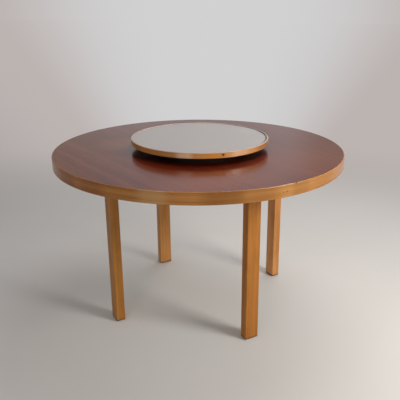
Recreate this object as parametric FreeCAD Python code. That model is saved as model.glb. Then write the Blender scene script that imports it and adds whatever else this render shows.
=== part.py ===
import FreeCAD, Part
import math
import os

# Round dining table on four bent legs, with a lazy susan on a ball bearing at its middle.
# Millimetres, +Z up. The origin is on the floor, on the vertical axis of the table.
# -Y is the front and +X the right-hand side; the four legs stand on the diagonals.

# ---- Table top ----
table_height = 730.0
top_diameter = 1250.0
veneer_thickness = 1.0
skin_thickness = 6.0
core_height = 33.0
band_width = 20.0            # radial width of the solid edge band
band_top_round = 3.0
band_bottom_round = 2.0
veneer_lip = 1.0             # bare band left between the face veneer and the rounding
band_scarf_length = 90.0     # how far two neighbouring lengths of band lap over each other
band_nib = 5.0               # square shoulder at each end of a scarf
rail_width = 90.0            # the two core rails that carry the legs
slat_thickness = 12.0
slat_rows = ("inner", "middle", "outer")
slat_edge_share = 0.5        # bay between the outer slats and the band, in slat spacings

# ---- Legs ----
leg_thickness = 38.0         # across the leg, pointing at the table's axis
leg_width = 60.0
leg_centre_radius = 418.0
knee_inner_radius = 30.0
arm_length = 200.0           # from the leg's outer face to the free end of its arm
arm_nose_radius = 12.0
leg_edge_round = 2.0
kerf_count = 5               # saw cuts along the bent end, each with a veneer glued in
kerf_veneer = 1.5
kerf_below_knee = 60.0
leg_screw_bite = 15.0        # into the core rail
leg_screw_shank = 6.0
leg_screw_head = 11.0
leg_screw_margin = 25.0      # from the arm's end, and from the start of the knee
leg_screw_spacing = 28.0     # across the arm

# ---- Foot glides ----
glide_diameter = 28.0
glide_height = 3.0
glide_chamfer = 1.0
nail_head_diameter = 8.0
nail_head_height = 1.0
nail_shank_diameter = 2.4
nail_bite = 18.0

# ---- Lazy susan ----
susan_diameter = 596.0
rim_width = 8.0
rim_round = 1.5
rim_scarf_length = 60.0
rim_nib = 2.0
insert_recess = 2.0
insert_thickness = 2.0
panel_thickness = 18.0
backing_thickness = 1.0

# ---- Base disc and ball bearing under the lazy susan ----
base_thickness = 15.0
base_margin = 11.0           # base disc beyond the bearing's outer ring
base_chamfer = 1.5
base_foot_count = 6
base_foot_diameter = 16.0
base_foot_height = 3.0
access_hole_diameter = 16.0  # lets a screwdriver reach the inner ring's screws
bearing_height = 8.0
ring_width = 18.0
ring_lift = 0.8              # step that keeps each ring off the part it turns against
ball_circle_diameter = 300.0
ball_diameter = 4.0
ball_count = 18
ball_clearance = 0.05
race_gap = 2.4               # between the two rings
cage_thickness = 1.2
cage_pocket_clearance = 0.1
ring_screw_count = 6
ring_screw_shank = 3.5
ring_screw_head = 7.0
base_screw_cover = 2.0       # wood left beyond the tips in the base disc
panel_screw_bite = 12.0

# ---- Screws ----
screw_clearance = 0.05
screw_slot_share = 0.12      # width of the driver slot, in head diameters
screw_slot_depth_share = 0.6  # its depth, in head heights

# ---- Levels and radii worked out from the sizes above ----
top_radius = top_diameter / 2
top_thickness = core_height + 2 * (skin_thickness + veneer_thickness)
underside_z = table_height - top_thickness
core_bottom_z = underside_z + veneer_thickness + skin_thickness
core_top_z = core_bottom_z + core_height
core_radius = top_radius - band_width
face_veneer_radius = top_radius - band_top_round - veneer_lip

leg_outer_radius = leg_centre_radius + leg_thickness / 2
knee_outer_radius = knee_inner_radius + leg_thickness
knee_centre_radius = leg_outer_radius - knee_outer_radius
knee_centre_z = underside_z - knee_outer_radius
arm_end_radius = leg_outer_radius - arm_length
arm_underside_z = underside_z - leg_thickness
leg_screw_length = leg_thickness + veneer_thickness + skin_thickness + leg_screw_bite

base_bottom_z = table_height + base_foot_height
base_top_z = base_bottom_z + base_thickness
susan_bottom_z = base_top_z + bearing_height
panel_bottom_z = susan_bottom_z + backing_thickness
panel_top_z = panel_bottom_z + panel_thickness
insert_top_z = panel_top_z + insert_thickness
rim_top_z = insert_top_z + insert_recess
susan_radius = susan_diameter / 2
panel_radius = susan_radius - rim_width

ball_circle_radius = ball_circle_diameter / 2
ball_centre_z = base_top_z + bearing_height / 2
ring_height = bearing_height - ring_lift
outer_ring_bore = ball_circle_radius + race_gap / 2
outer_ring_radius = outer_ring_bore + ring_width
inner_ring_radius = ball_circle_radius - race_gap / 2
inner_ring_bore = inner_ring_radius - ring_width
outer_screw_circle = outer_ring_bore + ring_width / 2
inner_screw_circle = inner_ring_radius - ring_width / 2
base_radius = outer_ring_radius + base_margin
base_screw_length = ring_height + base_thickness - base_screw_cover
panel_screw_length = ring_height + backing_thickness + panel_screw_bite

corner_names = ("front_right", "back_right", "back_left", "front_left")
side_names = ("right", "back", "left", "front")
corner_angles = {name: 90 * index - 45 for index, name in enumerate(corner_names)}
side_angles = {name: 90 * index for index, name in enumerate(side_names)}

up = FreeCAD.Vector(0, 0, 1)
centre = FreeCAD.Vector(0, 0, 0)
cut_margin = 5.0             # how far a cutter runs past the face it opens
match_tolerance = 0.01       # for picking out edges by their place


# ---- Plain geometry ----
def polar(radius, azimuth, z=0.0):
    """A point at a radius and an azimuth in degrees about the table's axis."""
    angle = math.radians(azimuth)
    return FreeCAD.Vector(radius * math.cos(angle), radius * math.sin(angle), z)


def turned(shape, azimuth):
    """The shape turned about the table's axis."""
    copy = shape.copy()
    copy.rotate(centre, up, azimuth)
    return copy


def moved(shape, x, y, z):
    copy = shape.copy()
    copy.translate(FreeCAD.Vector(x, y, z))
    return copy


def disc(radius, bottom_z, top_z, at=centre):
    return Part.makeCylinder(radius, top_z - bottom_z, FreeCAD.Vector(at.x, at.y, bottom_z))


def ring(outer_radius, bore_radius, bottom_z, top_z):
    hole = disc(bore_radius, bottom_z - cut_margin, top_z + cut_margin)
    return disc(outer_radius, bottom_z, top_z).cut(hole)


def prism(points, bottom_z, top_z):
    """A plan outline pulled up between two levels."""
    flat = [FreeCAD.Vector(point.x, point.y, bottom_z) for point in points]
    face = Part.Face(Part.makePolygon(flat + flat[:1]))
    return face.extrude(FreeCAD.Vector(0, 0, top_z - bottom_z))


def same(length, other):
    return abs(length - other) < match_tolerance


def circular_edges(shape, radius, z):
    """The full-circle edges of one radius at one level."""
    found = []
    for edge in shape.Edges:
        if isinstance(edge.Curve, Part.Circle):
            if same(edge.Curve.Radius, radius) and same(edge.Curve.Center.z, z):
                found.append(edge)
    return found


def rounded(shape, radius, z, rounding):
    return shape.makeFillet(rounding, circular_edges(shape, radius, z))


def chamfered(shape, radius, z, chamfer):
    return shape.makeChamfer(chamfer, circular_edges(shape, radius, z))


# ---- Bent strips: legs and the veneers in their knees ----
def knee_point(depth, angle):
    """A point on the knee, at a depth below the outer face; 0 degrees is the top of the shaft."""
    radius = knee_outer_radius - depth
    turn = math.radians(angle)
    return FreeCAD.Vector(knee_centre_radius + radius * math.cos(turn), 0,
                          knee_centre_z + radius * math.sin(turn))


def bent_strip(near_depth, far_depth, foot_z, width):
    """The part of a leg between two depths below its outer face, from foot_z to the arm's end."""
    near_x = leg_outer_radius - near_depth
    far_x = leg_outer_radius - far_depth
    near_z = underside_z - near_depth
    far_z = underside_z - far_depth
    foot_near = FreeCAD.Vector(near_x, 0, foot_z)
    foot_far = FreeCAD.Vector(far_x, 0, foot_z)
    tip_near = FreeCAD.Vector(arm_end_radius, 0, near_z)
    tip_far = FreeCAD.Vector(arm_end_radius, 0, far_z)
    near_knee = [knee_point(near_depth, angle) for angle in (0, 45, 90)]
    far_knee = [knee_point(far_depth, angle) for angle in (90, 45, 0)]
    curves = [
        Part.LineSegment(foot_near, near_knee[0]),
        Part.Arc(*near_knee),
        Part.LineSegment(near_knee[2], tip_near),
        Part.LineSegment(tip_near, tip_far),
        Part.LineSegment(tip_far, far_knee[0]),
        Part.Arc(*far_knee),
        Part.LineSegment(far_knee[2], foot_far),
        Part.LineSegment(foot_far, foot_near),
    ]
    face = Part.Face(Part.Wire([curve.toShape() for curve in curves]))
    strip = face.extrude(FreeCAD.Vector(0, width, 0))
    return moved(strip, 0, -width / 2, 0)


def nose_edges(shape):
    """The lower edge across the free end of the arm."""
    return [edge for edge in shape.Edges
            if same(edge.CenterOfMass.x, arm_end_radius)
            and same(edge.CenterOfMass.z, arm_underside_z)]


def side_edges(shape):
    """The long edges of a leg, where its faces meet its two sides, and the ends of those sides."""
    found = []
    for edge in shape.Edges:
        offsets = [vertex.Y for vertex in edge.Vertexes] + [edge.CenterOfMass.y]
        if all(same(abs(offset), leg_width / 2) for offset in offsets):
            found.append(edge)
    return found


def leg_blank():
    """A bent leg before its knee is sawn: shaft, knee and arm, with a rounded nose and edges."""
    blank = bent_strip(0, leg_thickness, glide_height, leg_width)
    blank = blank.makeFillet(arm_nose_radius, nose_edges(blank))
    return blank.makeFillet(leg_edge_round, side_edges(blank))


def kerf_depths():
    """The near depth of each saw cut, spaced so that all laminations are equally thick."""
    lamination = (leg_thickness - kerf_count * kerf_veneer) / (kerf_count + 1)
    return [lamination + index * (lamination + kerf_veneer) for index in range(kerf_count)]


def kerf_cutters():
    foot_z = knee_centre_z - kerf_below_knee
    wide = leg_width + 2 * cut_margin
    return [bent_strip(depth, depth + kerf_veneer, foot_z, wide) for depth in kerf_depths()]


# ---- Screws ----
def screw(length, shank_diameter, head_diameter):
    """A slotted countersunk wood screw: head flush at z = 0, point downwards."""
    head_height = (head_diameter - shank_diameter) / 2
    shank_radius = shank_diameter / 2
    outline = [
        FreeCAD.Vector(0, 0, 0),
        FreeCAD.Vector(head_diameter / 2, 0, 0),
        FreeCAD.Vector(shank_radius, 0, -head_height),
        FreeCAD.Vector(shank_radius, 0, shank_diameter - length),
        FreeCAD.Vector(0, 0, -length),
    ]
    face = Part.Face(Part.makePolygon(outline + outline[:1]))
    body = face.revolve(centre, up, 360)
    slot_width = screw_slot_share * head_diameter
    slot_depth = screw_slot_depth_share * head_height
    slot = Part.makeBox(head_diameter, slot_width, slot_depth + cut_margin)
    return body.cut(moved(slot, -head_diameter / 2, -slot_width / 2, -slot_depth))


def screw_hole(length, shank_diameter, head_diameter):
    """The hole for a screw: countersink seated on its head, pilot with a clearance on its shank."""
    hole_radius = shank_diameter / 2 + screw_clearance
    sink_height = head_diameter / 2 - hole_radius
    outline = [
        FreeCAD.Vector(0, 0, cut_margin),
        FreeCAD.Vector(head_diameter / 2, 0, cut_margin),
        FreeCAD.Vector(head_diameter / 2, 0, 0),
        FreeCAD.Vector(hole_radius, 0, -sink_height),
        FreeCAD.Vector(hole_radius, 0, -length),
        FreeCAD.Vector(0, 0, -length),
    ]
    face = Part.Face(Part.makePolygon(outline + outline[:1]))
    return face.revolve(centre, up, 360)


def pointing_up(shape):
    copy = shape.copy()
    copy.rotate(centre, FreeCAD.Vector(1, 0, 0), 180)
    return copy


def at_leg_screws(shape):
    """Copies of a downward shape at every leg screw, turned to point up from under the arms."""
    first = arm_end_radius + leg_screw_margin
    last = knee_centre_radius - leg_screw_margin
    upward = pointing_up(shape)
    copies = []
    for azimuth in corner_angles.values():
        for x in (first, last):
            for y in (-leg_screw_spacing / 2, leg_screw_spacing / 2):
                copies.append(turned(moved(upward, x, y, arm_underside_z), azimuth))
    return copies


def on_circle(shape, radius, z, count, first_azimuth):
    """Copies of a shape evenly spaced round a circle."""
    placed = moved(shape, radius, 0, z)
    return [turned(placed, first_azimuth + index * 360 / count) for index in range(count)]


leg_screws = at_leg_screws(screw(leg_screw_length, leg_screw_shank, leg_screw_head))
leg_screw_holes = at_leg_screws(screw_hole(leg_screw_length, leg_screw_shank, leg_screw_head))


# ---- Rings made of scarfed lengths ----
def ring_length(whole_ring, azimuths, radii, scarf_length, nib):
    """The length of a ring between two nibbed scarf joints.

    In plan each joint runs square through the bore for one nib, slopes along the ring, and
    runs square again for one nib to the outer face.
    """
    bore_radius, outer_radius = radii
    first, last = azimuths
    half_angle = math.degrees(scarf_length / 2 / outer_radius)
    inner_corners = [polar(bore_radius + nib, azimuth - half_angle) for azimuth in azimuths]
    outer_corners = [polar(outer_radius - nib, azimuth + half_angle) for azimuth in azimuths]
    quarter = (last - first) / 4
    beyond = [polar(2 * outer_radius, first + half_angle + step * quarter) for step in range(5)]
    outline = [centre, inner_corners[0], outer_corners[0]] + beyond
    outline += [outer_corners[1], inner_corners[1]]
    box = whole_ring.BoundBox
    return whole_ring.common(prism(outline, box.ZMin - cut_margin, box.ZMax + cut_margin))


# ---- Table top ----
def edge_band():
    band = ring(top_radius, core_radius, underside_z, table_height)
    band = rounded(band, top_radius, table_height, band_top_round)
    band = rounded(band, top_radius, underside_z, band_bottom_round)
    rebate = disc(face_veneer_radius, table_height - veneer_thickness, table_height + cut_margin)
    return band.cut(rebate)


def edge_band_lengths():
    band = edge_band()
    return {
        "edge_band_" + name: ring_length(band, (azimuth - 45, azimuth + 45),
                                         (core_radius, top_radius), band_scarf_length, band_nib)
        for name, azimuth in side_angles.items()
    }


def core_rails():
    """Two rails across the whole core, halved over each other at the middle."""
    rail = Part.makeBox(2 * core_radius, rail_width, core_height,
                        FreeCAD.Vector(-core_radius, -rail_width / 2, core_bottom_z))
    rail = rail.common(disc(core_radius, core_bottom_z, core_top_z))
    half = Part.makeBox(rail_width, rail_width, core_height / 2)
    lower_half = moved(half, -rail_width / 2, -rail_width / 2, core_bottom_z)
    upper_half = moved(half, -rail_width / 2, -rail_width / 2, core_bottom_z + core_height / 2)
    rails = {"core_rail_a": turned(rail.cut(upper_half), 45),
             "core_rail_b": turned(rail.cut(lower_half), 135)}
    return {name: shape.cut(leg_screw_holes) for name, shape in rails.items()}


def core_slat(offset):
    """A slat across one quarter of the core, mitred against the rails or shaped to the band."""
    rail_flank = rail_width / math.sqrt(2)
    near = offset - slat_thickness / 2
    far = offset + slat_thickness / 2
    outline = [
        FreeCAD.Vector(near, rail_flank - near, 0),
        FreeCAD.Vector(far, rail_flank - far, 0),
        FreeCAD.Vector(far, far - rail_flank, 0),
        FreeCAD.Vector(near, near - rail_flank, 0),
    ]
    slat = prism(outline, core_bottom_z, core_top_z)
    return slat.common(disc(core_radius, core_bottom_z, core_top_z))


def core_slats():
    spacing = core_radius / (len(slat_rows) + slat_edge_share)
    slats = {}
    for row, row_name in enumerate(slat_rows):
        slat = core_slat((row + 1) * spacing)
        for side, azimuth in side_angles.items():
            slats["core_slat_" + row_name + "_" + side] = turned(slat, azimuth)
    return slats


def table_top():
    pieces = {
        "top_veneer": disc(face_veneer_radius, table_height - veneer_thickness, table_height),
        "top_skin": disc(core_radius, core_top_z, core_top_z + skin_thickness),
        "bottom_skin": disc(core_radius, core_bottom_z - skin_thickness, core_bottom_z),
        "bottom_veneer": disc(core_radius, underside_z, underside_z + veneer_thickness),
    }
    for name in ("bottom_skin", "bottom_veneer"):
        pieces[name] = pieces[name].cut(leg_screw_holes)
    pieces.update(core_rails())
    pieces.update(core_slats())
    pieces.update(edge_band_lengths())
    return pieces


# ---- Legs, with the veneers of their knees, their screws and their glides ----
def foot_glide():
    glide = disc(glide_diameter / 2, 0, glide_height)
    glide = chamfered(glide, glide_diameter / 2, 0, glide_chamfer)
    return glide.cut(disc(nail_head_diameter / 2, glide_height - nail_head_height, glide_height))


def glide_nail():
    head = disc(nail_head_diameter / 2, glide_height - nail_head_height, glide_height)
    shank = disc(nail_shank_diameter / 2, glide_height, glide_height + nail_bite)
    return head.fuse(shank)


def legs():
    blank = leg_blank()
    cutters = kerf_cutters()
    nail = moved(glide_nail(), leg_centre_radius, 0, 0)
    sawn = blank.cut(cutters + [nail])
    glide = moved(foot_glide(), leg_centre_radius, 0, 0)
    pieces = {}
    nails = []
    for corner, azimuth in corner_angles.items():
        pieces["leg_" + corner] = turned(sawn, azimuth).cut(leg_screw_holes)
        veneers = [turned(cutter.common(blank), azimuth).cut(leg_screw_holes) for cutter in cutters]
        pieces["knee_veneers_" + corner] = Part.makeCompound(veneers)
        pieces["foot_glide_" + corner] = turned(glide, azimuth)
        nails.append(turned(nail, azimuth))
    pieces["glide_nails"] = Part.makeCompound(nails)
    pieces["leg_screws"] = Part.makeCompound(leg_screws)
    return pieces


# ---- Lazy susan ----
def ring_screws(length, circle_radius, z, upward):
    """The screws of one bearing ring and the holes that they need."""
    placed = []
    for shape in (screw(length, ring_screw_shank, ring_screw_head),
                  screw_hole(length, ring_screw_shank, ring_screw_head)):
        if upward:
            shape = pointing_up(shape)
        placed.append(on_circle(shape, circle_radius, z, ring_screw_count, 0))
    return placed


def ball_race():
    """The square track that both rings share, stood on its corner so that each ring gets a V groove."""
    half_diagonal = math.sqrt(2) * (ball_diameter / 2 + ball_clearance)
    outline = [
        FreeCAD.Vector(ball_circle_radius - half_diagonal, 0, ball_centre_z),
        FreeCAD.Vector(ball_circle_radius, 0, ball_centre_z - half_diagonal),
        FreeCAD.Vector(ball_circle_radius + half_diagonal, 0, ball_centre_z),
        FreeCAD.Vector(ball_circle_radius, 0, ball_centre_z + half_diagonal),
    ]
    face = Part.Face(Part.makePolygon(outline + outline[:1]))
    return face.revolve(centre, up, 360)


def bearing_cage():
    cage = ring(ball_circle_radius + cage_thickness / 2, ball_circle_radius - cage_thickness / 2,
                base_top_z + ring_lift, susan_bottom_z - ring_lift)
    pocket = Part.makeCylinder(ball_diameter / 2 + cage_pocket_clearance, race_gap,
                               FreeCAD.Vector(-race_gap / 2, 0, 0), FreeCAD.Vector(1, 0, 0))
    return cage.cut(on_circle(pocket, ball_circle_radius, ball_centre_z, ball_count, 0))


def susan_base():
    """The base disc with its feet and the bearing ring that is screwed down to it."""
    screws, holes = ring_screws(base_screw_length, outer_screw_circle, base_top_z + ring_height, False)
    base = disc(base_radius, base_bottom_z, base_top_z)
    base = chamfered(base, base_radius, base_top_z, base_chamfer)
    access = disc(access_hole_diameter / 2, base_bottom_z - cut_margin, base_top_z + cut_margin,
                  polar(inner_screw_circle, 0))
    foot = disc(base_foot_diameter / 2, 0, base_foot_height)
    half_step = 180 / base_foot_count
    outer_ring = ring(outer_ring_radius, outer_ring_bore, base_top_z, base_top_z + ring_height)
    return {
        "susan_base": base.cut(holes + [access]),
        "susan_base_feet": Part.makeCompound(
            on_circle(foot, outer_screw_circle, table_height, base_foot_count, half_step)),
        "bearing_outer_ring": outer_ring.cut(holes + [ball_race()]),
        "bearing_outer_screws": Part.makeCompound(screws),
    }


def bearing_rollers():
    ball = Part.makeSphere(ball_diameter / 2)
    balls = on_circle(ball, ball_circle_radius, ball_centre_z, ball_count, 0)
    return {"bearing_cage": bearing_cage(), "bearing_balls": Part.makeCompound(balls)}


def rim_lengths():
    rim = ring(susan_radius, panel_radius, susan_bottom_z, rim_top_z)
    rim = rounded(rim, susan_radius, rim_top_z, rim_round)
    rim = rounded(rim, susan_radius, susan_bottom_z, rim_round)
    rim = rounded(rim, panel_radius, rim_top_z, rim_round)
    return {
        "susan_rim_" + name: ring_length(rim, (side_angles[name] - 90, side_angles[name] + 90),
                                         (panel_radius, susan_radius), rim_scarf_length, rim_nib)
        for name in ("front", "back")
    }


def susan_tray():
    """The turning disc and the bearing ring that is screwed up to it."""
    screws, holes = ring_screws(panel_screw_length, inner_screw_circle,
                                susan_bottom_z - ring_height, True)
    inner_ring = ring(inner_ring_radius, inner_ring_bore, susan_bottom_z - ring_height, susan_bottom_z)
    pieces = {
        "bearing_inner_ring": inner_ring.cut(holes + [ball_race()]),
        "bearing_inner_screws": Part.makeCompound(screws),
        "susan_backing": disc(panel_radius, susan_bottom_z, panel_bottom_z).cut(holes),
        "susan_panel": disc(panel_radius, panel_bottom_z, panel_top_z).cut(holes),
        "susan_insert": disc(panel_radius, panel_top_z, insert_top_z),
    }
    pieces.update(rim_lengths())
    return pieces


# ---- One STEP file for each piece ----
def main():
    os.makedirs("parts", exist_ok=True)
    for group in (table_top(), legs(), susan_base(), bearing_rollers(), susan_tray()):
        for name, shape in group.items():
            shape.exportStep("parts/" + name + ".step")


main()
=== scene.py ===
import math

import bmesh
import bpy
from mathutils import Matrix, Vector


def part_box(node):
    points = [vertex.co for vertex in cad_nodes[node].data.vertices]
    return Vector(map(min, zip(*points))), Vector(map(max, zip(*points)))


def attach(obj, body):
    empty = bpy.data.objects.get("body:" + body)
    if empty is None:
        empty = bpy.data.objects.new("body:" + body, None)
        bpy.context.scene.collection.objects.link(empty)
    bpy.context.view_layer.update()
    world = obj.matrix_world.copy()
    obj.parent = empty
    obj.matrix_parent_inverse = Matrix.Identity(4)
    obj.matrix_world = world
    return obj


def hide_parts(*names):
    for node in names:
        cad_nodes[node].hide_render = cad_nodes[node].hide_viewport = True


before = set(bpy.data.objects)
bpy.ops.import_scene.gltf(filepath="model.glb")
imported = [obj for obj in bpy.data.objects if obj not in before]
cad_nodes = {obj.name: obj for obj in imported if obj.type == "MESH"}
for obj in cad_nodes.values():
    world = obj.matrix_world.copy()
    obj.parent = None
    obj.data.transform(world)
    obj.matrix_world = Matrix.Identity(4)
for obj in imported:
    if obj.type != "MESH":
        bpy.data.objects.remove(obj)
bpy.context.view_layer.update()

# A round dining table with a lazy susan. Metres; the axis of the table is the Z axis.
# Azimuths are degrees round that axis from +X, and -Y is the front.
scene = bpy.context.scene

corner_azimuths = {"front_right": -45, "back_right": 45, "back_left": 135, "front_left": 225}
side_azimuths = {"right": 0, "back": 90, "left": 180, "front": 270}


# ---- Sizes read from the frame ----
def reach(node):
    """How far a node at rest reaches along +X."""
    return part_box(node)[1].x


def levels(node):
    """The lowest and the highest level of a node at rest."""
    low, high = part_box(node)
    return low.z, high.z


underside_z, table_z = levels("edge_band_right")
top_radius = reach("edge_band_right")
core_radius = reach("top_skin")
face_veneer_radius = reach("top_veneer")
face_veneer_bottom = levels("top_veneer")[0]
backing_top = levels("bottom_veneer")[1]

susan_bottom, susan_top = levels("susan_rim_front")
susan_radius = -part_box("susan_rim_front")[0].y
panel_radius = reach("susan_insert")
insert_bottom, insert_top = levels("susan_insert")
susan_backing_top = levels("susan_backing")[1]

arm_underside_z = levels("leg_screws")[0]
leg_thickness = underside_z - arm_underside_z

# ---- Sizes that the frame doesn't give ----
band_top_round = 0.003
band_bottom_round = 0.002
band_scarf = 0.090
band_nib = 0.005
rim_round = 0.0015
rim_scarf = 0.060
rim_nib = 0.002
hairline = 0.00003            # half the joint left open between two glued pieces
eased = 0.0003                # the sanded-off corner of a veneer edge
leg_outer_radius = 0.437      # to the outer face of a leg
knee_inner_radius = 0.030
knee_outer_radius = knee_inner_radius + leg_thickness
knee_centre_radius = leg_outer_radius - knee_outer_radius
knee_centre_z = underside_z - knee_outer_radius

# ---- Fineness of the meshes ----
ring_steps = 72               # facets along a quarter of a ring
round_steps = 6               # facets round a rounded edge
disc_rings = 6                # rings from the middle of a disc to its edge

# ---- Colours of the wood, linear ----
mahogany = ((0.072, 0.0065, 0.0018), (0.120, 0.0135, 0.0040), (0.190, 0.0380, 0.0150))
mahogany_dark = mahogany[0]
mahogany_warm = (0.330, 0.0850, 0.0400)
# painted shade and reflection under and round the lazy susan
mahogany_painted_shade = (0.018, 0.0020, 0.0006)
band_wood = ((0.265, 0.088, 0.014), (0.415, 0.170, 0.038), (0.535, 0.260, 0.078))
# band_pale makes a painted highlight at the front of the band
band_pale = (0.600, 0.360, 0.160)
# brown patches on the right of the band: partly its own tone, partly painted shade
band_brown_shade = (0.200, 0.065, 0.010)
band_umber = (0.190, 0.045, 0.004)
band_amber = (0.340, 0.095, 0.006)
# painted sheen at the right end of the band
band_rose_sheen = (0.430, 0.215, 0.135)
rim_wood = ((0.360, 0.125, 0.025), (0.590, 0.260, 0.080), (0.760, 0.410, 0.170))
rim_amber = (0.620, 0.220, 0.020)
# painted highlights on the rim
rim_highlight = (0.830, 0.550, 0.350)
# painted shade at the right end of the rim
rim_shade_brown = (0.400, 0.160, 0.050)
rim_umber = (0.360, 0.130, 0.025)
# painted sheen on the rim's upper lip
rim_lip_sheen = (0.525, 0.415, 0.330)
# painted shade on the band's upper lip on the far side
band_lip_shade = (0.150, 0.075, 0.050)
# painted shade on the rim's lip and inner wall and along the insert's edge at the right
painted_shade_dark = (0.050, 0.032, 0.024)
leg_wood = ((0.380, 0.126, 0.016), (0.492, 0.188, 0.028), (0.585, 0.248, 0.046))
# painted light: each leg lighter or darker, the back ones bluer, by how light falls where it stands
leg_painted_light = {"front_right": (0.90, 0.89, 0.86), "back_right": (1.18, 1.32, 2.50),
             "back_left": (1.11, 1.29, 2.30), "front_left": (0.81, 0.86, 0.95)}
leg_tints = ((0.88, 0.86, 0.80), (1.0, 1.0, 1.0), (1.08, 1.07, 1.05))
knot_colour = (0.040, 0.010, 0.004)
foot_dark_brown = (0.085, 0.036, 0.016)
table_backing = ((0.43, 0.30, 0.195), (0.58, 0.43, 0.290))
susan_backing = ((0.07, 0.035, 0.018), (0.12, 0.060, 0.030))
softwood = ((0.50, 0.33, 0.17), (0.66, 0.48, 0.28))
plywood_layers = ((0.46, 0.30, 0.16), (0.64, 0.47, 0.28))

# ---- Colours of the other finishes ----
insert_grey = (0.42, 0.38, 0.365)
zinc_grey = (0.62, 0.63, 0.65)
aluminium_grey = (0.72, 0.72, 0.73)
steel_grey = (0.56, 0.56, 0.58)
nylon_cream = (0.60, 0.58, 0.52)
nylon_brown = (0.055, 0.035, 0.022)
rubber_black = (0.020, 0.020, 0.021)

# ---- Colours of the studio ----
backdrop_middle = (0.640, 0.638, 0.645)
backdrop_side = (0.505, 0.455, 0.440)
wall_bright = (0.760, 0.755, 0.750)
wall_middle = (0.655, 0.645, 0.650)
wall_side = (0.515, 0.478, 0.425)
room_colour = (0.320, 0.305, 0.297)
floor_colour = (0.682, 0.651, 0.620)
# painted light: a lighter, cooler floor beneath the table
floor_painted_light = (0.715, 0.718, 0.702)
daylight = (0.97, 0.98, 1.0)
lamplight = (1.0, 0.97, 0.93)
white_light = (1.0, 1.0, 1.0)

# ---- Grain: features per metre along it, across it and into the wood ----
wander = (1.3, 9.0, 9.0)
honey_figure = (1.1, 42.0, 42.0)
honey_lines = (2.6, 330.0, 330.0)
honey_pores = (70.0, 1500.0, 1500.0)
honey_mottle = (7.0, 26.0, 26.0)
mahogany_ribbon = (0.7, 38.0, 1.0)
mahogany_lines = (3.0, 420.0, 1.0)
mahogany_cloud = (2.2, 4.5, 1.0)
mahogany_pores = (110.0, 2100.0, 1.0)
mahogany_dashes = (7.0, 75.0, 1.0)
plain_figure = (1.5, 70.0, 70.0)
metal_marks = (400.0, 400.0, 40.0)
veneer_grain_azimuth = 143
leaf_width = 0.185            # one leaf of mahogany veneer
leaf_shift = 7.0              # how far apart along the log two leaves may come from
leaf_depth = 3.0              # how far apart across it
leaf_contrast = 0.05          # how much lighter or darker a leaf may be, as a share of the ramp

# ---- Where tones change, in metres ----
# Warmer patches of the veneer, partly its own tone and partly painted light, at the right end and to the
# left of the lazy susan where its shadow falls: (centre, radius, share).
veneer_tone_and_light_patches = (((0.15, -0.52), 0.22, 0.40), ((0.48, -0.08), 0.36, 0.20),
                  ((-0.34, -0.04), 0.17, 0.42), ((0.29, -0.40), 0.20, 0.32))
veneer_patch_core = 0.02      # at its full share within this radius
# Painted shade and a painted reflection of the lazy susan's dark underside: darker veneer under and close
# round it, a little further out at the front, faded past its edge.
susan_shade_centre = (0.0, -0.020, table_z)
susan_shade_full = susan_radius - 0.026
susan_shade_end = susan_radius + 0.016
susan_shade_share = 0.85
# Patches along a ring, partly the wood's own tone, partly painted highlight, sheen and shade: (distance
# round it from the front, half length, share, colour).
# band patches: partly tone, partly painted highlight, sheen and shade
band_tone_and_light_patches = ((-0.530, 0.190, 0.60, band_amber), (-0.390, 0.090, 0.50, band_umber),
                (-0.240, 0.090, 0.40, band_umber), (0.015, 0.075, 0.42, band_pale),
                (0.262, 0.115, 0.60, band_brown_shade), (0.405, 0.075, 0.30, band_brown_shade),
                (0.500, 0.040, 0.12, band_pale), (0.565, 0.060, 0.26, band_brown_shade),
                (0.700, 0.100, 0.17, band_brown_shade), (0.860, 0.130, 0.50, band_rose_sheen))
# rim patches: partly tone, partly painted highlights and painted shade
rim_tone_and_light_patches = ((-0.190, 0.140, 0.55, rim_amber), (-0.235, 0.060, 0.50, rim_umber),
               (0.022, 0.046, 0.72, rim_highlight), (0.135, 0.060, 0.40, rim_amber),
               (0.257, 0.055, 0.38, rim_highlight), (0.420, 0.110, 0.90, rim_shade_brown))
# Knots: (distance round the ring from the front, height, size).
band_knots = ((0.481, 0.7045, 0.0021), (0.497, 0.7040, 0.0025))
rim_knots = ((0.1772, 0.7685, 0.0064),)
# Upper lips, with painted shade on the band's and a painted sheen and painted shade on the rim's: (depth
# below the top where their tone ends, depth where it is full).
band_lip = (0.0034, 0.0018)
rim_lip = (0.0026, 0.0014)
# Painted shade on the inner wall of the rim: how far beyond the insert (it is fully dark, the dark ends).
rim_wall_shade = (0.0006, 0.0012)
# Painted shadow of the rim on the insert: how far inside its edge (the dark begins, it is full).
insert_rim_shadow = (0.0065, 0.0042)
# Painted shade on one side alone: (azimuth, distance that way where it begins, where it is full, share).
band_lip_shade_side = (113.5, -0.26, -0.10, 0.85)
rim_wall_shade_side = (34.8, 0.17, 0.24, 0.9)
rim_lip_shade_side = (42, 0.262, 0.290, 0.40)
insert_rim_shadow_side = (15, 0.250, 0.274, 0.95)
# Darker feet: full below the first height, gone above the second; the mottle raises both.
foot_dark_heights = (-0.002, 0.007)
foot_dark_raggedness = 0.010
foot_dark_share = 0.85


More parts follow.
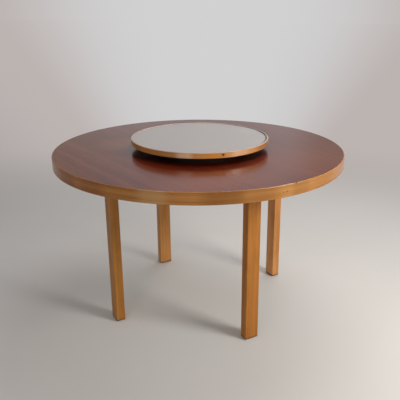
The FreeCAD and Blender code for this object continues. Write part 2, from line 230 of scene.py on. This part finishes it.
# ---- Node trees ----
class Nodes:
    """A node tree under construction. Most methods add nodes and return the output to go on with."""

    def __init__(self, tree):
        self.tree = tree

    def feed(self, socket, value):
        if isinstance(value, bpy.types.NodeSocket):
            self.tree.links.new(value, socket)
        elif socket.type == "RGBA" and len(value) == 3:
            socket.default_value = (*value, 1.0)
        else:
            socket.default_value = value

    def node(self, kind, inputs, **settings):
        made = self.tree.nodes.new(kind)
        for name, value in settings.items():
            setattr(made, name, value)
        for key, value in inputs.items():
            self.feed(made.inputs[key], value)
        return made

    def math(self, operation, a, b=0.0):
        return self.node("ShaderNodeMath", {0: a, 1: b}, operation=operation).outputs[0]

    def vector_math(self, operation, a, b=(0.0, 0.0, 0.0), output="Vector"):
        return self.node("ShaderNodeVectorMath", {0: a, 1: b}, operation=operation).outputs[output]

    def weighted(self, *parts):
        """The sum of some values, each times its weight."""
        total, *others = [self.math("MULTIPLY", value, weight) for value, weight in parts]
        for other in others:
            total = self.math("ADD", total, other)
        return total

    def length(self, a, b):
        """The length of a vector with these two coordinates."""
        return self.math("SQRT", self.math("ADD", self.math("MULTIPLY", a, a), self.math("MULTIPLY", b, b)))

    def split(self, vector):
        return self.node("ShaderNodeSeparateXYZ", {0: vector}).outputs

    def join(self, x, y, z):
        return self.node("ShaderNodeCombineXYZ", {0: x, 1: y, 2: z}).outputs[0]

    def turned(self, vector, azimuth):
        """The vector seen from a frame turned to an azimuth."""
        inputs = {"Vector": vector, "Angle": -math.radians(azimuth)}
        return self.node("ShaderNodeVectorRotate", inputs, rotation_type="Z_AXIS").outputs[0]

    def noise(self, vector, stretch, detail=3.0, roughness=0.5):
        """Noise from 0 to 1; stretch is its number of features per metre along each axis."""
        stretched = self.vector_math("MULTIPLY", vector, stretch)
        inputs = {"Vector": stretched, "Scale": 1.0, "Detail": detail, "Roughness": roughness}
        return self.node("ShaderNodeTexNoise", inputs).outputs["Fac"]

    def even_noise(self, vector, frequency, detail=2.0):
        """Noise with the same number of features per metre every way."""
        return self.noise(vector, (frequency, frequency, frequency), detail=detail)

    def between(self, value, low, high, to_low=0.0, to_high=1.0):
        """Maps a span onto another, smoothly and clamped at both ends."""
        inputs = {"Value": value, "From Min": low, "From Max": high, "To Min": to_low, "To Max": to_high}
        return self.node("ShaderNodeMapRange", inputs, interpolation_type="SMOOTHSTEP").outputs["Result"]

    def ramp(self, value, colours, stops=(0.3, 0.7)):
        made = self.node("ShaderNodeValToRGB", {"Fac": value})
        elements = made.color_ramp.elements
        for _ in colours[2:]:
            elements.new(0.5)
        for element, colour, stop in zip(elements, colours, stops):
            element.position = stop
            element.color = (*colour, 1.0)
        return made.outputs["Color"]

    def mix(self, share, a, b, blend="MIX"):
        made = self.node("ShaderNodeMix", {}, data_type="RGBA", blend_type=blend)
        colour_inputs = [socket for socket in made.inputs if socket.type == "RGBA"]
        self.feed(made.inputs["Factor"], share)
        self.feed(colour_inputs[0], a)
        self.feed(colour_inputs[1], b)
        return next(socket for socket in made.outputs if socket.type == "RGBA")


class Shader(Nodes):
    """A material under construction."""

    def __init__(self, name):
        self.material = bpy.data.materials.new(name)
        self.material.use_nodes = True
        super().__init__(self.material.node_tree)
        self.surface = self.tree.nodes["Principled BSDF"]

    def plug(self, **values):
        """Feeds sockets of the Principled shader, such as base_color or roughness."""
        for name, value in values.items():
            self.feed(self.surface.inputs[name.replace("_", " ").title().replace("Ior", "IOR")], value)

    def bump(self, height, depth):
        """Relief of a depth in metres."""
        inputs = {"Height": height, "Distance": depth, "Strength": 1.0}
        self.plug(normal=self.node("ShaderNodeBump", inputs).outputs["Normal"])

    def place(self):
        """Coordinates of the piece itself, in metres."""
        return self.node("ShaderNodeTexCoord", {}).outputs["Object"]

    def height(self):
        return self.split(self.place())[2]

    def from_axis(self):
        """How far a point lies from the table's axis."""
        x, y, _ = self.split(self.place())
        return self.length(x, y)

    def distance_from(self, point):
        return self.vector_math("DISTANCE", self.place(), point, output="Value")

    def on_side(self, mask, side):
        """A mask kept on one side alone, given as (azimuth, where it begins, where it is full, share)."""
        azimuth, begins, full, share = side
        that_way = self.split(self.turned(self.place(), azimuth))[0]
        return self.math("MULTIPLY", mask, self.between(that_way, begins, full, 0.0, share))


def scaled(colour, factor):
    return tuple(factor * value for value in colour)


# ---- Where the grain runs: x along it, in metres ----
def straight_grain(shader, azimuth):
    """Grain straight across a flat piece."""
    return shader.turned(shader.place(), azimuth)


def ring_grain(shader, azimuth, radius, seed):
    """Grain along a length of ring, as (distance round the ring from its front, height, depth)."""
    x, y, height = shader.split(shader.turned(shader.place(), azimuth))
    from_front = math.radians((azimuth - side_azimuths["front"] + 180) % 360 - 180)
    arc = shader.math("MULTIPLY", shader.math("ADD", shader.math("ARCTAN2", y, x), from_front), radius)
    return shader.join(arc, height, shader.math("ADD", shader.length(x, y), seed))


def leg_grain(shader, azimuth, seed):
    """Grain up the shaft of a bent leg, round its knee and along its arm."""
    x, across, z = shader.split(shader.turned(shader.place(), azimuth))
    outward = shader.math("SUBTRACT", x, knee_centre_radius)
    upward = shader.math("SUBTRACT", z, knee_centre_z)
    knee_x = shader.math("MAXIMUM", outward, 0.0)
    knee_z = shader.math("MAXIMUM", upward, 0.0)
    turn = shader.math("ARCTAN2", knee_z, knee_x)
    mean_radius = (knee_inner_radius + knee_outer_radius) / 2
    along = shader.math("ADD", shader.math("MINIMUM", upward, 0.0),
                        shader.math("MULTIPLY", turn, mean_radius))
    along = shader.math("SUBTRACT", along, shader.math("MINIMUM", outward, 0.0))
    return shader.join(shader.math("ADD", along, seed), across, shader.length(knee_x, knee_z))


def wavy(shader, grain, swing):
    """Grain that wanders sideways by a swing in metres, as in a real board."""
    slow = shader.noise(grain, wander, detail=2.0)
    offset = shader.math("MULTIPLY", shader.math("SUBTRACT", slow, 0.5), swing)
    return shader.vector_math("ADD", grain, shader.join(0.0, offset, offset))


def veneer_leaves(shader, grain):
    """Grain of leaves laid side by side, each cut from another place, and the tone of each leaf."""
    along, across, _ = shader.split(grain)
    leaf = shader.math("FLOOR", shader.math("DIVIDE", across, leaf_width))
    chance = shader.node("ShaderNodeTexWhiteNoise", {"W": leaf}, noise_dimensions="1D").outputs["Value"]
    shifted_along = shader.math("ADD", along, shader.math("MULTIPLY", chance, leaf_shift))
    board = shader.join(shifted_along, across, shader.math("MULTIPLY", chance, leaf_depth))
    return board, shader.between(chance, 0.0, 1.0, -leaf_contrast, leaf_contrast)


# ---- Wood ----
def honey_wood(shader, grain, colours, polish, lacquer, patches=(), knots=()):
    """Clear-lacquered pale hardwood: soft figure, fine dark fibres and short pores.

    Polish is the least roughness and lacquer the refractive index of the finish. Returns the
    colour, for the material to add to and plug in.
    """
    fibre = wavy(shader, grain, swing=0.012)
    figure = shader.noise(fibre, honey_figure, detail=4.0, roughness=0.55)
    lines = shader.noise(fibre, honey_lines, detail=5.0, roughness=0.62)
    ticks = shader.between(shader.noise(fibre, honey_pores, detail=2.0), 0.60, 0.72)
    colour = shader.ramp(shader.weighted((figure, 0.62), (lines, 0.38)), colours, (0.34, 0.50, 0.67))
    colour = shader.mix(shader.math("MULTIPLY", ticks, 0.35), colour, colours[0])
    colour = patched(shader, grain, lines, colour, patches)
    for along, height, size in knots:
        colour = knot(shader, grain, colour, along, height, size)
    shader.plug(ior=lacquer, roughness=shader.between(lines, 0.2, 0.8, polish, polish + 0.08))
    shader.bump(shader.math("SUBTRACT", shader.math("MULTIPLY", lines, 0.5), ticks), depth=0.00006)
    return colour


def patched(shader, grain, lines, colour, patches):
    """Stretches in other tones, streaked by the fibres: partly the board's own, partly painted highlight
    and painted shade.
    """
    along = shader.split(grain)[0]
    streaks = shader.between(lines, 0.38, 0.60, 0.7, 1.2)
    for middle, half_length, share, patch_colour in patches:
        away = shader.math("ABSOLUTE", shader.math("SUBTRACT", along, middle))
        fade = shader.between(away, 0.3 * half_length, half_length, share, 0.0)
        colour = shader.mix(shader.math("MULTIPLY", fade, streaks), colour, patch_colour)
    return colour


def knot(shader, grain, colour, along, height, size):
    """A small dark pin knot with a soft halo, drawn out along the grain."""
    x, y, _ = shader.split(grain)
    from_x = shader.math("MULTIPLY", shader.math("SUBTRACT", x, along), 0.7)
    from_y = shader.math("SUBTRACT", y, height)
    distance = shader.length(from_x, from_y)
    core = shader.between(distance, 0.4 * size, 0.7 * size, 1.0, 0.0)
    halo = shader.between(distance, 0.5 * size, 1.8 * size, 0.25, 0.0)
    return shader.mix(shader.math("MAXIMUM", core, halo), colour, knot_colour)


def plain_wood(name, colours, azimuth, roughness):
    """Unfinished or thinly sealed wood of a hidden or turned-away face."""
    shader = Shader(name)
    grain = wavy(shader, straight_grain(shader, azimuth), swing=0.010)
    figure = shader.noise(grain, plain_figure, detail=5.0, roughness=0.6)
    shader.plug(base_color=shader.ramp(figure, colours), roughness=roughness)
    shader.bump(figure, depth=0.00005)
    return shader.material


def mahogany_material():
    """Lacquered mahogany veneer: ribbon stripe, soft dark dashes, open pores and warmer patches, partly
    painted light.

    It is darker under and close round the lazy susan: painted shade and a painted reflection of its
    underside.
    """
    shader = Shader("mahogany_face")
    board, leaf_tone = veneer_leaves(shader, straight_grain(shader, veneer_grain_azimuth))
    fibre = wavy(shader, board, swing=0.020)
    ribbon = shader.noise(fibre, mahogany_ribbon, detail=3.0)
    lines = shader.noise(fibre, mahogany_lines, detail=5.0, roughness=0.6)
    cloud = shader.noise(board, mahogany_cloud, detail=2.0)
    dashes = shader.noise(fibre, mahogany_dashes, detail=2.0)
    ticks = shader.between(shader.noise(fibre, mahogany_pores, detail=2.0), 0.58, 0.70)
    blend = shader.math("ADD", shader.weighted((ribbon, 0.55), (lines, 0.25), (cloud, 0.20)), leaf_tone)
    colour = shader.ramp(blend, mahogany, (0.29, 0.50, 0.73))
    colour = shader.mix(shader.math("MULTIPLY", ticks, 0.55), colour, mahogany_dark)
    colour = shader.mix(shader.between(dashes, 0.52, 0.66, 0.0, 0.60), colour, mahogany_dark)
    # warmer patches: partly the veneer's own tone, partly painted light
    for centre, radius, share in veneer_tone_and_light_patches:
        away = shader.distance_from((*centre, table_z))
        patch = shader.between(away, veneer_patch_core, radius, share, 0.0)
        colour = shader.mix(patch, colour, mahogany_warm)
    # painted shade and reflection under and round the lazy susan
    away = shader.distance_from(susan_shade_centre)
    susan_shade = shader.between(away, susan_shade_full, susan_shade_end, susan_shade_share, 0.0)
    shader.plug(base_color=shader.mix(susan_shade, colour, mahogany_painted_shade), ior=1.5)
    shader.plug(roughness=shader.between(cloud, 0.2, 0.8, 0.13, 0.17))
    shader.bump(shader.math("SUBTRACT", shader.math("MULTIPLY", lines, 0.3), ticks), depth=0.00004)
    return shader.material


def band_material(side, azimuth):
    """The edge band, with painted shade on its upper lip on the far side."""
    shader = Shader("honey_band_" + side)
    grain = ring_grain(shader, azimuth, top_radius, seed=3.7)
    colour = honey_wood(shader, grain, band_wood, polish=0.14, lacquer=1.41,
                        patches=band_tone_and_light_patches, knots=band_knots)
    lip = shader.between(shader.height(), table_z - band_lip[0], table_z - band_lip[1])
    # painted shade on the upper lip, on the far side only
    shader.plug(base_color=shader.mix(shader.on_side(lip, band_lip_shade_side), colour, band_lip_shade))
    return shader.material


def rim_material(side, azimuth):
    """The rim of the lazy susan: a painted sheen on its upper lip, and painted shade on the lip at the back
    right and on the inner wall beside it.
    """
    shader = Shader("honey_rim_" + side)
    grain = ring_grain(shader, azimuth, susan_radius, seed=21.0)
    colour = honey_wood(shader, grain, rim_wood, polish=0.16, lacquer=1.45,
                        patches=rim_tone_and_light_patches, knots=rim_knots)
    lip = shader.between(shader.height(), susan_top - rim_lip[0], susan_top - rim_lip[1])
    wall_start, wall_end = (panel_radius + beyond for beyond in rim_wall_shade)
    wall = shader.between(shader.from_axis(), wall_start, wall_end, 1.0, 0.0)
    # painted sheen on the upper lip
    colour = shader.mix(lip, colour, rim_lip_sheen)
    # painted shade on the lip at the back right and on the inner wall at the right
    colour = shader.mix(shader.on_side(lip, rim_lip_shade_side), colour, painted_shade_dark)
    shader.plug(base_color=shader.mix(shader.on_side(wall, rim_wall_shade_side), colour, painted_shade_dark))
    return shader.material


def leg_material(corner, azimuth, index):
    """A leg in the painted light of its place, mottled, and darker at the very foot."""
    shader = Shader("honey_leg_" + corner)
    # painted light for this leg's place
    leg_lighting = leg_painted_light[corner]
    colours = [tuple(part * value for part, value in zip(leg_lighting, colour)) for colour in leg_wood]
    grain = leg_grain(shader, azimuth, seed=5.3 * (index + 1))
    colour = honey_wood(shader, grain, colours, polish=0.40, lacquer=1.35)
    mottle = shader.noise(grain, honey_mottle, detail=3.0)
    tint = shader.ramp(mottle, leg_tints, (0.33, 0.50, 0.68))
    colour = shader.mix(1.0, colour, tint, blend="MULTIPLY")
    ragged = shader.math("SUBTRACT", shader.height(), shader.math("MULTIPLY", mottle, foot_dark_raggedness))
    darker_foot = shader.between(ragged, *foot_dark_heights, foot_dark_share, 0.0)
    shader.plug(base_color=shader.mix(darker_foot, colour, foot_dark_brown))
    return shader.material


# ---- Other finishes ----
def insert_material():
    """Satin grey laminate: faint mottling, a fine even texture and a painted shadow of the rim at the
    right.
    """
    shader = Shader("grey_laminate")
    cloud = shader.even_noise(shader.place(), 9.0, detail=3.0)
    speck = shader.even_noise(shader.place(), 900.0)
    blend = shader.weighted((cloud, 0.5), (speck, 0.5))
    colour = shader.ramp(blend, (scaled(insert_grey, 0.93), scaled(insert_grey, 1.07)))
    # painted shadow of the rim along the insert's edge at the right
    shadow_start, shadow_full = (panel_radius - inside for inside in insert_rim_shadow)
    corner = shader.on_side(shader.between(shader.from_axis(), shadow_start, shadow_full),
                            insert_rim_shadow_side)
    shader.plug(base_color=shader.mix(corner, colour, painted_shade_dark))
    shader.plug(roughness=shader.between(cloud, 0.2, 0.8, 0.30, 0.38))
    shader.bump(speck, depth=0.00002)
    return shader.material


def metal(name, colour, roughness):
    """Bare metal with fine marks drawn out along Z."""
    shader = Shader(name)
    marks = shader.noise(shader.place(), metal_marks)
    shader.plug(base_color=shader.ramp(marks, (scaled(colour, 0.85), colour)), metallic=1.0)
    shader.plug(roughness=shader.between(marks, 0.2, 0.8, roughness, roughness + 0.12))
    shader.bump(marks, depth=0.00001)
    return shader.material


def moulded(name, colour, roughness):
    """Nylon or rubber with a fine moulded texture."""
    shader = Shader(name)
    texture = shader.even_noise(shader.place(), 1200.0)
    cloud = shader.even_noise(shader.place(), 60.0)
    shader.plug(base_color=shader.ramp(cloud, (colour, scaled(colour, 1.3))))
    shader.plug(roughness=shader.between(cloud, 0.2, 0.8, roughness, roughness + 0.1))
    shader.bump(texture, depth=0.00002)
    return shader.material


# ---- Meshes ----
def piece(name, mesh_maker, material, slot, body, *replaced):
    """Adds a piece that rides on a body and stands for CAD nodes."""
    mesh = bpy.data.meshes.new(name)
    shape = bmesh.new()
    mesh_maker(shape)
    bmesh.ops.recalc_face_normals(shape, faces=shape.faces)
    for face in shape.faces:
        face.smooth = True
    shape.to_mesh(mesh)
    shape.free()
    mesh.materials.append(material)
    made = bpy.data.objects.new(name, mesh)
    scene.collection.objects.link(made)
    made.modifiers.new("flat_faces_stay_flat", "WEIGHTED_NORMAL").keep_sharp = True
    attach(made, body)
    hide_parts(*replaced)


def at(radius, angle, z):
    return (radius * math.cos(angle), radius * math.sin(angle), z)


def scarfed_length(shape, columns, azimuths, scarf, nib):
    """Sweeps a section between two nibbed scarf joints.

    The section is a list of columns (radius, bottom z, top z), from the bore to the outer face.
    """
    bore, outer = columns[0][0], columns[-1][0]
    half_angle = scarf / 2 / outer
    gap = hairline / outer
    steps = round(ring_steps * (azimuths[1] - azimuths[0]) / 90)
    rings = []
    for radius, low, high in columns:
        slope = (radius - bore - nib) / (outer - bore - 2 * nib)
        lag = half_angle * (2 * min(max(slope, 0.0), 1.0) - 1)
        first = math.radians(azimuths[0]) + lag + gap
        last = math.radians(azimuths[1]) + lag - gap
        angles = [first + (last - first) * step / steps for step in range(steps + 1)]
        rings.append([[shape.verts.new(at(radius, angle, z)) for angle in angles] for z in (low, high)])
    loop = [ring[0] for ring in rings] + [ring[1] for ring in reversed(rings)]
    for strip, following in zip(loop, loop[1:] + loop[:1]):
        for step in range(steps):
            shape.faces.new((strip[step], strip[step + 1], following[step + 1], following[step]))
    for end in (0, -1):
        for (low, high), (next_low, next_high) in zip(rings, rings[1:]):
            shape.faces.new((low[end], next_low[end], next_high[end], high[end]))


def rounding(outer, radius):
    """Radii of the columns round an edge that is rounded towards the outer face."""
    quarter = math.pi / 2
    return [outer - radius + radius * math.sin(quarter * step / round_steps)
            for step in range(round_steps + 1)]


def drop(distance, radius):
    """How far a rounded edge lies below its flat, at a distance past where the rounding starts."""
    if distance <= 0:
        return 0.0
    return radius - math.sqrt(max(radius * radius - distance * distance, 0.0))


def band_columns():
    """The edge band's section: rebated for the face veneer and rounded at its outer edges."""
    rebate = face_veneer_radius + hairline
    columns = [(core_radius, underside_z, face_veneer_bottom),
               (core_radius + band_nib, underside_z, face_veneer_bottom),
               (rebate - hairline / 2, underside_z, face_veneer_bottom),
               (rebate, underside_z, table_z - eased),
               (rebate + eased / 2, underside_z, table_z)]
    for radius in rounding(top_radius, band_top_round):
        low = underside_z + drop(radius - top_radius + band_bottom_round, band_bottom_round)
        high = table_z - drop(radius - top_radius + band_top_round, band_top_round)
        columns.append((radius, low, high))
    return columns


def rim_columns():
    """The rim's section: rounded at both upper edges and at the lower outer one."""
    columns = []
    for step in range(round_steps + 1):
        radius = panel_radius + rim_round * (1 - math.cos(math.pi / 2 * step / round_steps))
        high = susan_top - drop(panel_radius + rim_round - radius, rim_round)
        columns.append((radius, susan_bottom, high))
    for radius in rounding(susan_radius, rim_round):
        lost = drop(radius - susan_radius + rim_round, rim_round)
        columns.append((radius, susan_bottom + lost, susan_top - lost))
    return columns


def disc(shape, radius, low, high):
    """A flat round sheet with sanded upper and lower corners, in rings of quads."""
    count = 4 * ring_steps
    inner = [radius * ring / disc_rings for ring in range(1, disc_rings)]
    edge = [(radius - eased, low), (radius, low + eased), (radius, high - eased), (radius - eased, high)]
    section = [(r, low) for r in inner] + edge + [(r, high) for r in reversed(inner)]
    angles = [2 * math.pi * step / count for step in range(count)]
    rings = [[shape.verts.new(at(r, angle, z)) for angle in angles] for r, z in section]
    for ring, following in zip(rings, rings[1:]):
        for step in range(count):
            after = (step + 1) % count
            shape.faces.new((ring[step], ring[after], following[after], following[step]))
    for ring, z in ((rings[0], low), (rings[-1], high)):
        middle = shape.verts.new((0.0, 0.0, z))
        for step in range(count):
            shape.faces.new((ring[step], ring[(step + 1) % count], middle))


# ---- Pieces ----
def table_top():
    face_radius = face_veneer_radius - hairline
    piece("mahogany_face", lambda shape: disc(shape, face_radius, face_veneer_bottom, table_z),
          mahogany_material(), "mahogany_veneer", "table", "top_veneer")
    piece("underside_veneer", lambda shape: disc(shape, core_radius - hairline, underside_z, backing_top),
          plain_wood("backing_veneer", table_backing, azimuth=veneer_grain_azimuth, roughness=0.5),
          "backing_veneer", "table", "bottom_veneer")
    for side, azimuth in side_azimuths.items():
        ends = (azimuth - 45, azimuth + 45)
        piece("band_" + side,
              lambda shape: scarfed_length(shape, band_columns(), ends, band_scarf, band_nib),
              band_material(side, azimuth), "solid_birch", "table", "edge_band_" + side)


def lazy_susan():
    radius = panel_radius - hairline
    piece("tray_insert", lambda shape: disc(shape, radius, insert_bottom, insert_top),
          insert_material(), "grey_laminate", "lazy_susan", "susan_insert")
    piece("tray_backing", lambda shape: disc(shape, radius, susan_bottom, susan_backing_top),
          plain_wood("tray_backing", susan_backing, azimuth=90, roughness=0.5),
          "backing_veneer", "lazy_susan", "susan_backing")
    for side in ("front", "back"):
        azimuth = side_azimuths[side]
        ends = (azimuth - 90, azimuth + 90)
        piece("rim_" + side,
              lambda shape: scarfed_length(shape, rim_columns(), ends, rim_scarf, rim_nib),
              rim_material(side, azimuth), "solid_birch", "lazy_susan", "susan_rim_" + side)


def finish(node, material):
    for slot in node.material_slots:
        slot.material = material


def dress_cad_nodes():
    """Finishes of the CAD nodes that stay, by how their names start; the last that fits decides."""
    core = plain_wood("core_softwood", softwood, azimuth=45, roughness=0.7)
    plywood = plain_wood("plywood", plywood_layers, azimuth=0, roughness=0.65)
    zinc = metal("zinc_steel", zinc_grey, roughness=0.32)
    aluminium = metal("bearing_aluminium", aluminium_grey, roughness=0.38)
    steel = metal("bearing_steel", steel_grey, roughness=0.16)
    cage = moulded("cage_nylon", nylon_cream, roughness=0.45)
    glide = moulded("glide_nylon", nylon_brown, roughness=0.45)
    rubber = moulded("foot_rubber", rubber_black, roughness=0.7)
    finishes = {
        "core_": core, "top_skin": plywood, "bottom_skin": plywood, "susan_panel": plywood,
        "susan_base": plywood, "susan_base_feet": rubber, "leg_screws": zinc, "glide_nails": zinc,
        "bearing_outer_screws": zinc, "bearing_inner_screws": zinc, "bearing_outer_ring": aluminium,
        "bearing_inner_ring": aluminium, "bearing_balls": steel, "bearing_cage": cage, "foot_glide": glide,
    }
    for start, material in finishes.items():
        for name, node in cad_nodes.items():
            if name.startswith(start):
                finish(node, material)
    for index, (corner, azimuth) in enumerate(corner_azimuths.items()):
        material = leg_material(corner, azimuth, index)
        finish(cad_nodes["leg_" + corner], material)
        finish(cad_nodes["knee_veneers_" + corner], material)


# ---- Camera ----
# Fitted to the photo: angles in radians, focal length and shift of the centre in its pixels.
camera_place = Vector((0.66613, -2.22996, 1.30699))
camera_yaw = -0.226500
camera_pitch = 0.327916
camera_roll = 0.012057
image_pixels = 400
focal_pixels = 540.914
centre_shift_pixels = (33.436, -6.868)
sensor_width = 36.0           # millimetres


def add_camera():
    data = bpy.data.cameras.new("photo_camera")
    data.sensor_width = sensor_width
    data.lens = focal_pixels / image_pixels * sensor_width
    data.shift_x = -centre_shift_pixels[0] / image_pixels
    data.shift_y = centre_shift_pixels[1] / image_pixels
    made = bpy.data.objects.new("photo_camera", data)
    level = Matrix.Rotation(-camera_yaw, 4, "Z") @ Matrix.Rotation(math.pi / 2 - camera_pitch, 4, "X")
    made.matrix_world = Matrix.Translation(camera_place) @ level @ Matrix.Rotation(camera_roll, 4, "Z")
    scene.collection.objects.link(made)
    scene.camera = made


# ---- Light ----
backdrop_azimuth = 105
backdrop_half_width = 22      # degrees either way to where the bright middle ends
dim_azimuth = 225
dim_span = (-0.15, 0.45)      # cosines of the angle from there, where it starts and where it is full
backdrop_strength = 1.0
wall_azimuths = (93.6, 97.2, 102.5, 113.0, 121.0)
wall_colours = (wall_side, wall_bright, wall_middle, wall_middle, wall_side)
wall_strength = 0.80 * backdrop_strength
wall_heights = (0.03, 0.14)   # upward part of a direction, backdrop below and walls above
ambient_strength = 0.34


def area_light(name, place, target, power, size, colour):
    data = bpy.data.lights.new(name, "AREA")
    data.energy = power
    data.shape = "DISK"
    data.size = size
    data.color = colour
    made = bpy.data.objects.new(name, data)
    made.location = place
    made.rotation_euler = (Vector(target) - Vector(place)).to_track_quat("-Z", "Y").to_euler()
    scene.collection.objects.link(made)


def background_rays(nodes):
    """1 for the rays that see the backdrop: camera, glossy and transmission rays."""
    path = nodes.node("ShaderNodeLightPath", {}).outputs
    seen = nodes.math("MAXIMUM", path["Is Camera Ray"], path["Is Glossy Ray"])
    return nodes.math("MAXIMUM", seen, path["Is Transmission Ray"])


def cosine_to(nodes, heading, azimuth):
    """Cosine of the angle between a level heading and an azimuth."""
    angle = math.radians(azimuth)
    level = (math.cos(angle), math.sin(angle), 0.0)
    return nodes.vector_math("DOT_PRODUCT", heading, level, output="Value")


def backdrop_glow(nodes, direction):
    """The backdrop's colour in a direction: bright behind the table, dim at its front left."""
    heading = nodes.vector_math("NORMALIZE", nodes.vector_math("MULTIPLY", direction, (1.0, 1.0, 0.0)))
    edge = math.cos(math.radians(backdrop_half_width))
    bright = nodes.between(cosine_to(nodes, heading, backdrop_azimuth), edge, 1.0)
    glow = nodes.mix(bright, backdrop_side, backdrop_middle)
    dim = nodes.between(cosine_to(nodes, heading, dim_azimuth), *dim_span)
    return nodes.mix(dim, glow, room_colour)


def wall_glow(nodes, direction):
    """The walls as the glossy top mirrors them: a bright one behind the table, dimmer ones beside it."""
    x, y, _ = nodes.split(direction)
    azimuth = nodes.math("DIVIDE", nodes.math("ARCTAN2", y, x), math.pi)
    return nodes.ramp(azimuth, wall_colours, [degrees / 180 for degrees in wall_azimuths])


def add_world():
    world = bpy.data.worlds.new("studio")
    scene.world = world
    world.use_nodes = True
    nodes = Nodes(world.node_tree)
    ambient = world.node_tree.nodes["Background"]
    nodes.feed(ambient.inputs["Color"], daylight)
    nodes.feed(ambient.inputs["Strength"], ambient_strength)
    direction = nodes.node("ShaderNodeTexCoord", {}).outputs["Generated"]
    height = nodes.split(direction)[2]
    strength = nodes.between(height, *wall_heights, backdrop_strength, wall_strength)
    glow = nodes.mix(nodes.between(height, *wall_heights),
                     backdrop_glow(nodes, direction), wall_glow(nodes, direction))
    seen = nodes.node("ShaderNodeBackground", {"Color": glow, "Strength": strength})
    inputs = {0: background_rays(nodes), 1: ambient.outputs[0], 2: seen.outputs[0]}
    choice = nodes.node("ShaderNodeMixShader", inputs)
    nodes.feed(world.node_tree.nodes["World Output"].inputs["Surface"], choice.outputs[0])


# ---- Floor ----
floor_radius = 60.0
# painted light beneath the table
painted_light_span = (0.25, 0.85)   # where the tone beneath the table starts to fade, and where it ends
fade_span = (1.3, 3.4)        # where the floor starts to fade into the backdrop, and where it has


def floor_material():
    """A pale matt floor, with painted light beneath the table, that fades into the backdrop far from the
    table.
    """
    shader = Shader("pale_floor")
    place = shader.place()
    cloud = shader.even_noise(place, 1.5, detail=3.0)
    grit = shader.even_noise(place, 300.0)
    far = shader.vector_math("LENGTH", place, output="Value")
    colour = shader.ramp(cloud, (scaled(floor_colour, 0.97), floor_colour))
    # painted light beneath the table
    colour = shader.mix(shader.between(far, *painted_light_span, 1.0, 0.0), colour, floor_painted_light)
    shader.plug(base_color=colour, roughness=0.75)
    shader.bump(grit, depth=0.00005)
    share = shader.math("MULTIPLY", shader.between(far, *fade_span), background_rays(shader))
    inputs = {"Color": backdrop_glow(shader, place), "Strength": backdrop_strength}
    backdrop = shader.node("ShaderNodeEmission", inputs)
    inputs = {0: share, 1: shader.surface.outputs[0], 2: backdrop.outputs[0]}
    choice = shader.node("ShaderNodeMixShader", inputs)
    shader.feed(shader.tree.nodes["Material Output"].inputs["Surface"], choice.outputs[0])
    return shader.material


def add_floor():
    mesh = bpy.data.meshes.new("floor")
    shape = bmesh.new()
    bmesh.ops.create_circle(shape, cap_ends=True, segments=96, radius=floor_radius)
    shape.to_mesh(mesh)
    shape.free()
    mesh.materials.append(floor_material())
    made = bpy.data.objects.new("floor", mesh)
    scene.collection.objects.link(made)


scene.view_settings.view_transform = "Standard"
add_camera()
add_world()
add_floor()
area_light("key", (2.25, -0.75, 1.65), (0.0, 0.0, 0.5), power=41.0, size=0.9, colour=lamplight)
area_light("front", (-0.20, -2.90, 1.90), (0.0, 0.0, 0.4), power=7.0, size=1.2, colour=daylight)
area_light("overhead", (0.4, 1.3, 2.8), (0.0, 0.0, 0.3), power=31.0, size=2.0, colour=white_light)
table_top()
lazy_susan()
dress_cad_nodes()
